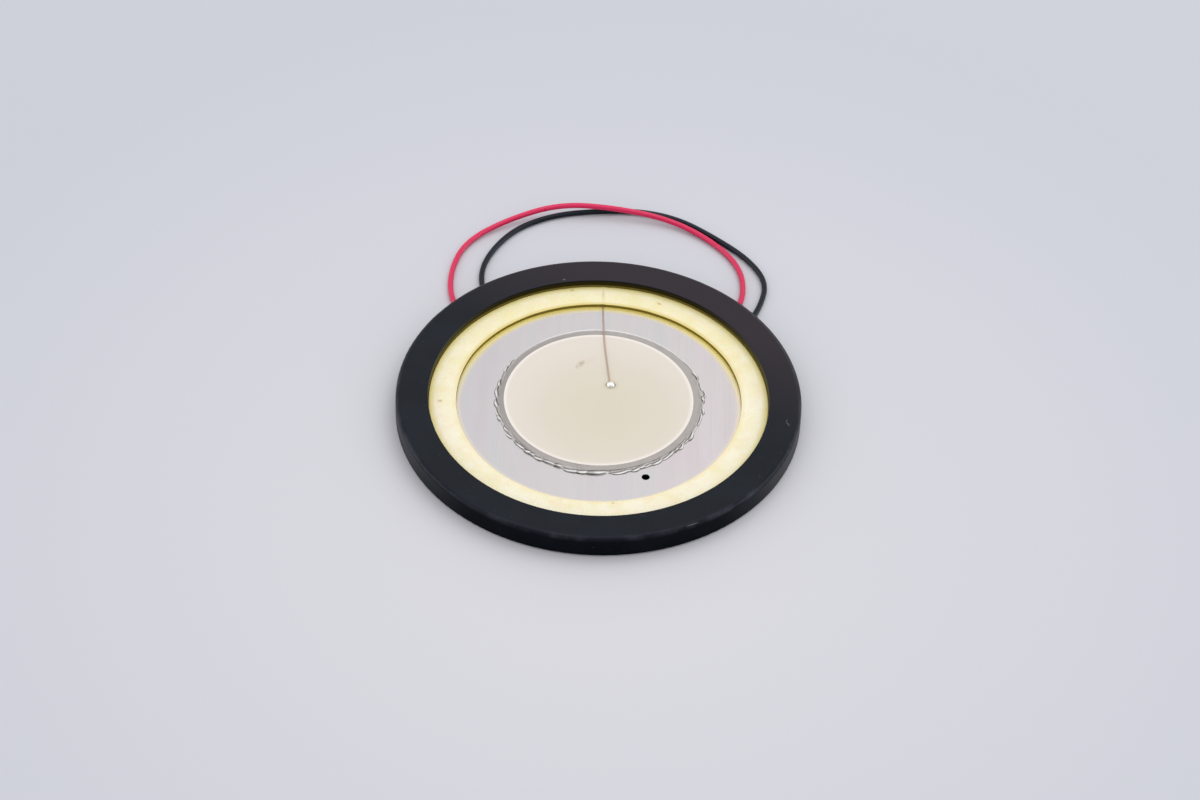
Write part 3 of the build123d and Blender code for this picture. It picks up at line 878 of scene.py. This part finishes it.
@dataclass
class GlueBead:
    """The clear glue: a thin layer under the ceramic and a bead round it, smooth behind, lumpy in front."""

    columns: int = 2400
    crown_steps: int = 14
    layer: float = 0.03
    smooth_width: float = 0.34
    far_width: float = 0.34
    smooth_height: float = 0.2
    wander: Ripple = ((3, 7, 19, 41, 83), (0.02, 0.015, 0.012, 0.01, 0.008))
    crown_powers: Span = (0.9, 0.8)
    lump_pitch: float = 1.0
    lump_arc: Span = (150.0, 395.0)
    lump_reach: Span = (0.02, 0.36)
    lump_power: float = 1.6
    lump_half: Span = (0.45, 1.1)
    lump_rise: Span = (0.0, 0.16)
    blobs: tuple[Point, ...] = ((8.0, 0.6, 0.55), (268.0, 1.5, 0.3), (256.0, 1.1, 0.34))
    line_half: float = 0.28
    crest_half: float = 0.2
    foot_places: Span = (-0.3, 0.29)
    foot_halves: Span = (0.15, 0.1)

    def lumps(self, arc: np.ndarray, radius: float) -> tuple[np.ndarray, ...]:
        """Gives the bead's extra reach and height at each place along its rim, and the place in the lump.

        Each lump is half an ellipse along the rim, and where lumps overlap the larger one counts,
        which leaves a crease between neighbours.

        Args:
            arc: Angle round the rim, in radians.
            radius: The ceramic's radius in millimetres.

        Returns:
            At each angle: extra reach and height in millimetres, the place along the largest lump
            from minus one to one, and that lump's own random number.
        """
        random = np.random.default_rng(SEED)
        first, last = np.radians(self.lump_arc)
        count = int((last - first) * radius / self.lump_pitch)
        centre = np.linspace(first, last, count) + random.uniform(-0.4, 0.4, count) * self.lump_pitch / radius
        half = random.uniform(*self.lump_half, count)
        least, most = self.lump_reach
        reach = least + (most - least) * random.uniform(0, 1, count) ** self.lump_power
        rise = random.uniform(*self.lump_rise, count)
        blob_angle, blob_half, blob_reach = np.array(self.blobs).T
        centre = np.concatenate([centre, np.radians(blob_angle)])
        half = np.concatenate([half, blob_half])
        reach = np.concatenate([reach, blob_reach])
        rise = np.concatenate([rise, blob_reach * 0.4])
        away = np.angle(np.exp(1j * (arc[:, None] - centre[None, :]))) * radius / half[None, :]
        bump = np.sqrt(np.clip(1 - away**2, 0, None))
        largest = (bump * reach).argmax(axis=1)
        place = np.clip(away[np.arange(len(arc)), largest], -1, 1)
        chance = random.uniform(0, 1, len(centre))[largest]
        return (bump * reach).max(axis=1), (bump * rise).max(axis=1), place, chance

    def build(self) -> bpy.types.Object:
        """Builds one closed skin: flat underside, crowned bead, and the seat under the ceramic."""
        low, high = (np.array(c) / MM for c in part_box("ceramic_disc"))
        plate_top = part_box("ceramic_glue")[0].z / MM
        centre, radius = (low + high) / 2, (high[0] - low[0]) / 2
        angle = np.linspace(0, 2 * math.pi, self.columns, endpoint=False)
        reach, rise, place, chance = self.lumps(angle, radius)
        wander = waves(angle, *self.wander, SEED + 3)
        behind = np.clip(np.sin(angle), 0, 1) ** 2
        width = self.smooth_width + self.far_width * behind + wander + reach
        top = self.smooth_height + 0.5 * wander + rise
        turn = np.linspace(0, math.pi / 2, self.crown_steps)[:, None]
        crown_radius = radius + width * np.cos(turn) ** self.crown_powers[0]
        crown_height = plate_top + top * np.sin(turn) ** self.crown_powers[1]
        rest = np.ones_like(angle)
        seat = (plate_top + self.layer) * rest
        radii = np.vstack([0 * rest, crown_radius, radius * rest, 0 * rest])
        heights = np.vstack([plate_top * rest, crown_height, seat, seat])
        across = np.vstack([-rest, np.repeat(turn / (math.pi / 2), len(angle), axis=1), 2 * rest, 2 * rest])
        painted_streaks = self.painted_streaks(across, reach / self.lump_reach[1], place, chance, behind)
        points = round_circle(centre, radii, angle, heights)
        piece = grid_mesh("glue_bead", points, closed=False, poles=True, values=painted_streaks)
        return install(piece, Finishes.GLUE, "ceramic_glue")

    def painted_streaks(
        self, across: np.ndarray, share: np.ndarray, place: np.ndarray, chance: np.ndarray, behind: np.ndarray
    ) -> dict[str, np.ndarray]:
        """Works out where the clear glue gets a painted highlight on its crests and painted shade at its
        meniscus.

        A smooth bead has one bright line. A lump has a bright streak between two dark ones, and
        its random number says where they lie and how far the bright one reaches along it.

        Args:
            across: Place across the bead by row and angle: zero at the foot, one at the ceramic.
            share: Lump size at each angle, from zero to one.
            place: Place along the lump at each angle.
            chance: The lump's random number at each angle.
            behind: How far each angle is on the far side, from zero to one.

        Returns:
            The painted highlight and painted shade masks, by name.
        """
        lumpy = np.clip(share * 6, 0, 1)
        line = plateau(across, 0.22 + 0.2 * behind, self.line_half)
        middle = 0.26 + 0.3 * chance + 0.12 * place
        crest = plateau(across, middle, self.crest_half) * (1 - place**6)
        foot = sum(plateau(across, middle + at, half) for at, half in zip(self.foot_places, self.foot_halves))
        ahead = 1 / (1 + np.exp(-(place + 1.1 - 1.3 * chance) * 9))
        bright = line * (1 - lumpy) + crest * lumpy * ahead
        dark = foot * lumpy * (0.75 + 0.25 * (1 - ahead)) * (1 - place**8)
        return {"bright": bright, "dark": dark}


@dataclass
class SolderDot:
    """The small round joint in the middle: a drop with a thin skirt, lifted where the wire enters."""

    columns: int = 96
    steps: int = 28
    drop: float = 0.5
    drop_powers: Span = (2.6, 0.6)
    skirt: float = 0.05
    tail: float = 0.1
    wire_angle: float = 100.0
    wander: Ripple = ((2, 3, 5), (0.025, 0.02, 0.012))

    def build(self) -> bpy.types.Object:
        """Builds the drop: from a broad top its height falls ever faster, then runs out in a skirt."""
        low, high = (np.array(c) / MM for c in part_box("centre_solder"))
        centre, radius, height = (low + high) / 2, (high[0] - low[0]) / 2, high[2] - low[2]
        angle = np.linspace(0, 2 * math.pi, self.columns, endpoint=False)
        share = np.linspace(0, 1, self.steps)[:, None]
        outline = radius * (1 + waves(angle, *self.wander, SEED + 4))
        fall, fullness = self.drop_powers
        body = np.clip(1 - (share * radius / self.drop) ** fall, 0, None) ** fullness * height
        skirt = self.skirt * (1 - share) ** 1.5
        toward_wire = np.cos(angle - math.radians(self.wire_angle))
        tail = self.tail * np.clip(toward_wire, 0, 1) ** 4 * np.exp(-(((share - 0.65) / 0.25) ** 2))
        z = np.maximum(body + 0 * angle, skirt + tail) * (share < 1)
        top = round_circle(centre, share * outline, angle, low[2] + z)
        base = top[-1:].copy()
        base[..., :2] = centre[:2] * MM
        # Dark brown at the skirt: flux, and painted shade round the drop's foot.
        flux = np.clip((share * radius / self.drop - 0.95) * 8, 0, 1) + 0 * angle
        values = {"flux": np.concatenate([flux, flux[-1:]])}
        points = np.concatenate([top, base])
        piece = grid_mesh("centre_solder_drop", points, closed=False, poles=True, values=values)
        return install(piece, Finishes.SOLDER, "centre_solder")


@dataclass
class Strands:
    """Bare stranded conductor, twisted and tinned: a round bar grooved by a helix of strands."""

    strands: int = 7
    lay: float = 3.2
    groove: float = 0.12
    columns: int = 70
    step: float = 0.04

    def build(self, name: str, path: np.ndarray, radius: float, *nodes: str) -> bpy.types.Object:
        """Builds the bar along a path.

        The radius is the cosine of the strand count times the angle, less the twist at that length,
        taken without its sign, so that rounded strands meet in sharp grooves.

        Args:
            name: The piece's name.
            path: Points of the conductor's axis in millimetres.
            radius: The bar's radius in millimetres.
            nodes: The CAD nodes that it replaces.

        Returns:
            The finished piece.
        """
        runs = np.linalg.norm(np.diff(path, axis=0), axis=1)
        along = np.concatenate([[0], np.cumsum(runs)])
        at = np.linspace(0, along[-1], max(int(along[-1] / self.step), 8))
        axis = np.stack([np.interp(at, along, path[:, k]) for k in range(3)], axis=-1)
        tangent = np.gradient(axis, at, axis=0)
        tangent /= np.linalg.norm(tangent, axis=1, keepdims=True)
        side = np.cross(tangent, (0.0, 0.0, 1.0))
        side /= np.linalg.norm(side, axis=1, keepdims=True)
        up = np.cross(side, tangent)
        angle = np.linspace(0, 2 * math.pi, self.columns, endpoint=False)
        twist = 2 * math.pi * at[:, None] / self.lay
        ridge = np.abs(np.cos(self.strands / 2 * (angle - twist)))
        end = np.clip((along[-1] - at) / radius, 0, 1)[:, None]
        width = radius * (1 - self.groove + self.groove * ridge) * np.sqrt(1 - (1 - end) ** 2 * 0.75)
        skin = axis[:, None] + width[..., None] * (
            np.cos(angle)[None, :, None] * side[:, None] + np.sin(angle)[None, :, None] * up[:, None]
        )
        caps = [np.broadcast_to(axis[k], skin[:1].shape) for k in (0, -1)]
        points = np.concatenate([caps[0], skin, caps[1]])
        piece = grid_mesh(name, points * MM, closed=False, poles=True)
        return install(piece, Finishes.SOLDER, *nodes)


@dataclass
class Lead:
    """One insulated lead, laid along its route, with a tinned bare end."""

    name: str
    node: str
    finish: Finish
    route: Sequence[Point]
    length: float
    diameter: float = 0.7
    core: float = 0.38
    tip: float = 3.0
    tip_steps: int = 12

    def build(self) -> bpy.types.Object:
        curve = bpy.data.curves.new(self.name, "CURVE")
        curve.dimensions = "3D"
        curve.bevel_depth = self.diameter / 2 * MM
        curve.bevel_resolution = 6
        curve.use_fill_caps = True
        curve.resolution_u = 16
        spline = curve.splines.new("NURBS")
        spline.points.add(len(self.route) - 1)
        points = np.hstack([np.array(self.route) * MM, np.ones((len(self.route), 1))])
        spline.points.foreach_set("co", points.ravel().astype(np.float32))
        spline.order_u = 3
        spline.use_endpoint_u = True
        piece = install(link_object(self.name, curve), self.finish, self.node)
        end, before = np.array(self.route[-1]), np.array(self.route[-2])
        outwards = (end - before) / np.linalg.norm(end - before)
        path = end + outwards * np.linspace(0, self.tip, self.tip_steps)[:, None]
        tip = Strands().build(f"{self.name}_strands", path, self.core / 2, f"{self.node}_tip")
        return piece


@dataclass
class LeadPair:
    """The red and the black lead, looped out behind the ring and back under it.

    A route runs from the lead's joint to its loose end. Its points are X, Y and the height above
    that of a lead that lies on the ground. The red lead rises once, over the black one.
    """

    rest: float = 0.37
    lengths: Span = (96.7, 96.8)
    red: tuple[Point, ...] = (
        (3.3, 12.9, 0.14), (6.8, 11.9, 0.05), (10.6, 12.8, 0.0), (13.5, 14.6, 0.0), (16.4, 17.3, 0.0),
        (18.1, 21.9, 0.0), (17.5, 27.5, 0.0), (13.8, 32.3, 0.03), (8.3, 35.8, 0.38), (1.2, 36.9, 1.08),
        (-5.9, 37.3, 1.08), (-12.5, 34.7, 0.38), (-17.7, 30.6, 0.03), (-19.4, 25.1, 0.0), (-19.2, 19.6, 0.0),
        (-17.2, 16.3, 0.0), (-13.8, 13.0, 0.0), (-11.8, 8.4, 0.0), (-11.6, 4.4, 0.0), (-12.2, 1.7, 0.0),
    )
    black: tuple[Point, ...] = (
        (7.6, 8.6, 0.1), (10.6, 9.4, 0.0), (13.9, 12.0, 0.0), (18.2, 15.9, 0.0), (20.2, 20.2, 0.0),
        (20.9, 24.7, 0.0), (18.5, 29.0, 0.0), (14.2, 32.9, 0.0), (9.7, 36.2, 0.0), (4.8, 37.6, 0.0),
        (-0.8, 37.4, 0.0), (-6.3, 36.4, 0.0), (-11.1, 33.7, 0.0), (-14.1, 29.6, 0.0), (-15.7, 24.8, 0.0),
        (-14.8, 19.6, 0.0), (-11.0, 15.1, 0.0), (-8.8, 10.8, 0.0), (-8.6, 6.8, 0.0), (-9.1, 3.0, 0.0),
        (-8.4, -0.3, 0.0),
    )

    def build(self) -> None:
        """Builds both leads."""
        for name, finish, points, length in (
            ("red", Finishes.RED, self.red, self.lengths[0]),
            ("black", Finishes.BLACK, self.black, self.lengths[1]),
        ):
            route = [(x, y, self.rest + rise) for x, y, rise in points]
            Lead(f"{name}_insulated_lead", f"{name}_lead", finish, route, length).build()


@dataclass
class AnchorDab:
    """The dab of hot-melt glue round both leads in the notch: the CAD block with its edges run round."""

    voxel: float = 0.07
    rounds: int = 120
    sink: float = 0.34
    wave_pitches: Point = (2.3, 3.1, 1.7)
    notch_angle: float = 42.0

    def build(self) -> bpy.types.Object:
        """Remeshes a copy of the block, smooths it and sinks its skin in waves, save at the notch's walls."""
        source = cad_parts["lead_anchor"]
        piece = link_object("anchor_dab", source.data.copy())
        piece.data.transform(source.matrix_world)
        piece.data.materials.clear()
        remesh = piece.modifiers.new("remesh", "REMESH")
        remesh.mode, remesh.voxel_size = "VOXEL", self.voxel * MM
        smooth = piece.modifiers.new("smooth", "SMOOTH")
        smooth.factor, smooth.iterations = 0.5, self.rounds
        evaluated = piece.evaluated_get(bpy.context.evaluated_depsgraph_get())
        smoothed = bpy.data.meshes.new_from_object(evaluated)
        piece.modifiers.clear()
        piece.data = smoothed
        points = np.empty((len(smoothed.vertices), 3), np.float32)
        normals = np.empty_like(points)
        smoothed.vertices.foreach_get("co", points.ravel())
        smoothed.vertices.foreach_get("normal", normals.ravel())
        wave = np.sin(points / MM * self.wave_pitches).sum(axis=1, keepdims=True) / 3
        angle = math.radians(self.notch_angle)
        across = np.array((-math.sin(angle), math.cos(angle), 0.0))
        free = normals - (normals @ across)[:, None] * across
        sunk = points + free * (wave - 1) / 2 * self.sink * MM
        smoothed.vertices.foreach_set("co", sunk.astype(np.float32).ravel())
        smoothed.shade_smooth()
        return install(piece, Finishes.DAB, "lead_anchor")


@dataclass
class RigidPieces:
    """The CAD pieces whose shape is right as it is, and their finishes."""

    finishes: dict[str, Finish] = field(
        default_factory=lambda: {
            "housing_ring": Finishes.RING,
            "seat_adhesive": Finishes.SEAT_GLUE,
            "diaphragm_plate": Finishes.PLATE,
            "rear_electrode": Finishes.SILVER,
            "ceramic_disc": Finishes.CERAMIC,
            "front_electrode": Finishes.SILVER,
            "copper_wire": Finishes.COPPER,
            "splice_solder": Finishes.SOLDER,
            "splice_sleeve": Finishes.SLEEVE,
            "plate_solder": Finishes.SOLDER,
            "red_lead_core": Finishes.SOLDER,
            "black_lead_core": Finishes.SOLDER,
        }
    )

    def build(self) -> None:
        """Dresses each of them."""
        for name, finish in self.finishes.items():
            dress_node(name, finish)


@dataclass
class Studio:
    """A pale floor, an even sky and one large soft lamp overhead, a little behind and to the right."""

    paper: str = "#d8d7de"
    paper_far: str = "#cacdd6"
    paper_below: str = "#2a2a2e"
    paper_roughness: float = 0.9
    bright_spot_mm: Span = (0.0, -20.0)
    far_painted_light_mm: Span = (20.0, 100.0)
    below_mm: Span = (18.5, 17.5)
    floor_size: float = 8.0
    sky_light: float = 0.88
    glossy_light: float = 0.93
    zenith_light: float = 2.3
    zenith: Span = (0.76, 0.92)
    front_light: float = 0.8
    front: Span = (-0.6, 0.1)
    side_light: float = 2.2
    side: Span = (0.78, 0.9)
    lamp_size: float = 0.9
    lamp_place: Point = (0.35, 0.45, 0.85)
    lamp_power: float = 2.5

    def build(self) -> None:
        """Builds the floor, the world and the lamp, and sets a plain view transform."""
        self.floor()
        self.world()
        self.lamp()
        bpy.context.scene.view_settings.view_transform = "Standard"

    def floor(self) -> None:
        """Builds the paper floor: one flat square.

        It is palest in front of the object, a painted pool of light. Under the ring it is dark, as deep shade,
        so that the plate's vent hole looks black.
        """
        half = self.floor_size / 2
        corners = np.array([(-half, -half, 0), (half, -half, 0), (half, half, 0), (-half, half, 0)], float)
        mesh = bpy.data.meshes.new("paper_floor")
        mesh.from_pydata(corners.tolist(), [], [(0, 1, 2, 3)])
        floor = link_object("paper_floor", mesh)
        material = bpy.data.materials.new("paper_matt_pale")
        material.use_nodes = True
        tree = material.node_tree
        shader = tree.nodes["Principled BSDF"]
        values = {"Base Color": linear(self.paper), "Roughness": self.paper_roughness, "Specular IOR Level": 0.0}
        for name, value in values.items():
            shader.inputs[name].default_value = value
        nodes = Shading(tree, shader, add_node(tree, "ShaderNodeTexCoord").outputs["Object"])
        # A painted pool of light: palest near the object, darker farther off.
        nodes.tint(nodes.band(nodes.away(*self.bright_spot_mm), self.far_painted_light_mm), self.paper_far)
        nodes.tint(nodes.band(nodes.away(), self.below_mm), self.paper_below)
        mesh.materials.append(material)

    def world(self) -> None:
        """Builds the sky: plain light, the paper's own colour where it is seen, and a room for reflections.

        The room is bright overhead, with a window on either side, and dimmer towards the camera.
        """
        world = bpy.data.worlds.new("studio_sky")
        bpy.context.scene.world = world
        world.use_nodes = True
        tree = world.node_tree
        tree.nodes.clear()
        light = add_node(tree, "ShaderNodeBackground", {"Color": WHITE, "Strength": self.sky_light})
        nodes = Shading(tree, light, add_node(tree, "ShaderNodeTexCoord").outputs["Generated"])
        overhead = nodes.ramp(nodes.part("Z"), *self.zenith, self.glossy_light, self.zenith_light)
        windows = nodes.ramp(nodes.math("ABSOLUTE", nodes.part("X")), *self.side, 0.0, self.side_light)
        behind = nodes.ramp(nodes.part("Y"), *self.front, self.front_light, 1.0)
        strength = nodes.times(nodes.math("ADD", overhead, windows), behind)
        ceiling = nodes.add("ShaderNodeBackground", {"Color": WHITE, "Strength": strength})
        backdrop = nodes.add("ShaderNodeBackground", {"Color": linear(self.paper)})
        ray = nodes.add("ShaderNodeLightPath")
        shown = light.outputs[0]
        for kind, background in (
            ("Is Glossy Ray", ceiling),
            ("Is Transmission Ray", ceiling),
            ("Is Camera Ray", backdrop),
        ):
            inputs = {0: ray.outputs[kind], 1: shown, 2: background.outputs[0]}
            shown = nodes.add("ShaderNodeMixShader", inputs).outputs[0]
        nodes.add("ShaderNodeOutputWorld", {"Surface": shown})

    def lamp(self) -> None:
        """Builds the soft lamp, turned to the object."""
        data = bpy.data.lights.new("softbox", "AREA")
        data.shape = "SQUARE"
        data.size = self.lamp_size
        data.energy = self.lamp_power
        lamp = link_object("softbox", data)
        lamp.location = self.lamp_place
        lamp.visible_glossy = False
        lamp.rotation_mode = "QUATERNION"
        lamp.rotation_quaternion = (-Vector(self.lamp_place)).to_track_quat("-Z", "Y")


@dataclass
class PhotoCamera:
    """The photograph's viewpoint, as found from the ring's outlines, in degrees and millimetres."""

    elevation: float = 43.464
    distance: float = 536.66
    roll: float = 1.865
    aim_right: float = 0.172
    aim_up: float = 1.508
    focal_pixels: float = 4345.7
    frame_pixels: float = 1200.0
    sensor: float = 36.0

    def build(self) -> None:
        """Builds the camera from its right, up and backward directions."""
        rise, roll = math.radians(self.elevation), math.radians(self.roll)
        right = Vector((1, 0, 0))
        up = Vector((0, math.sin(rise), math.cos(rise)))
        back = Vector((0, -math.cos(rise), math.sin(rise)))
        rolled_right = math.cos(roll) * right + math.sin(roll) * up
        rolled_up = -math.sin(roll) * right + math.cos(roll) * up
        data = bpy.data.cameras.new("photo_camera")
        data.sensor_width = self.sensor
        data.lens = self.focal_pixels * self.sensor / self.frame_pixels
        data.clip_start, data.clip_end = 0.01, 50
        camera = link_object("photo_camera", data)
        turn = Matrix((rolled_right, rolled_up, back)).transposed().to_4x4()
        place = (back * self.distance + right * self.aim_right + up * self.aim_up) * MM
        camera.matrix_world = Matrix.Translation(place) @ turn
        bpy.context.scene.camera = camera


def main() -> None:
    logging.basicConfig(level=logging.INFO, format="%(message)s")
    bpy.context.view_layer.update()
    PhotoCamera().build()
    LeadPair().build()
    RigidPieces().build()
    FoamGasket().build()
    GlueBead().build()
    SolderDot().build()
    AnchorDab().build()
    Studio().build()


if __name__ == "__main__":
    main()
